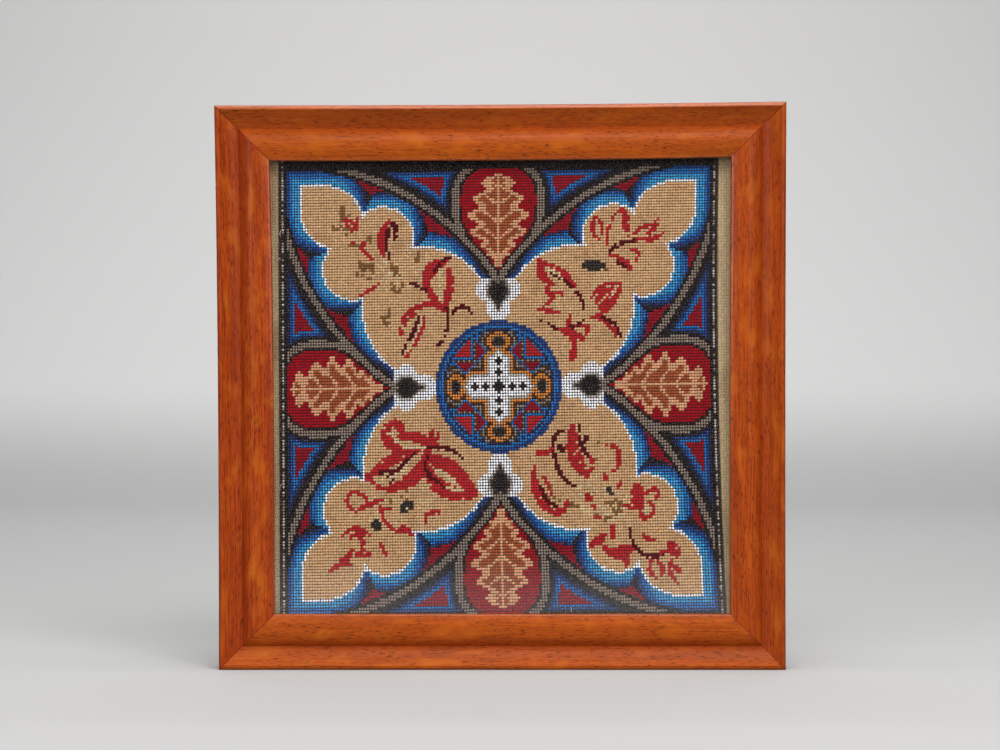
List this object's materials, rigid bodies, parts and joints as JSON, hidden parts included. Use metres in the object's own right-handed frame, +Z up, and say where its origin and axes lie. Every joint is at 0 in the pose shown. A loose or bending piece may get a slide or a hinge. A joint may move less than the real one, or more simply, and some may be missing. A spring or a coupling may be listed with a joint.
{
  "type": "framed needlepoint canvas panel",
  "caption": "Square bead and wool needlepoint canvas behind glass in a stained maple picture frame, standing upright.",
  "frame": {"origin": "middle of the frame's underside, on the surface it stands on", "axes": "+Z up the panel, -Y the way its face looks, +Y out of its back, +X to the right as seen from the front"},
  "size_m": [0.4286, 0.026, 0.4254],
  "materials": {
    "frame_wood": "orange-brown stained maple, satin varnish",
    "picture_glass": "clear picture glass",
    "needlework": "cotton canvas worked with glass beads and wool",
    "board": "plain brown backing board"
  },
  "bodies": {
    "root": {"rail_bottom": "frame_wood", "rail_top": "frame_wood", "rail_left": "frame_wood", "rail_right": "frame_wood", "glass_pane": "picture_glass", "needlepoint_canvas": "needlework", "backing_board": "board"}
  },
  "joints": []
}
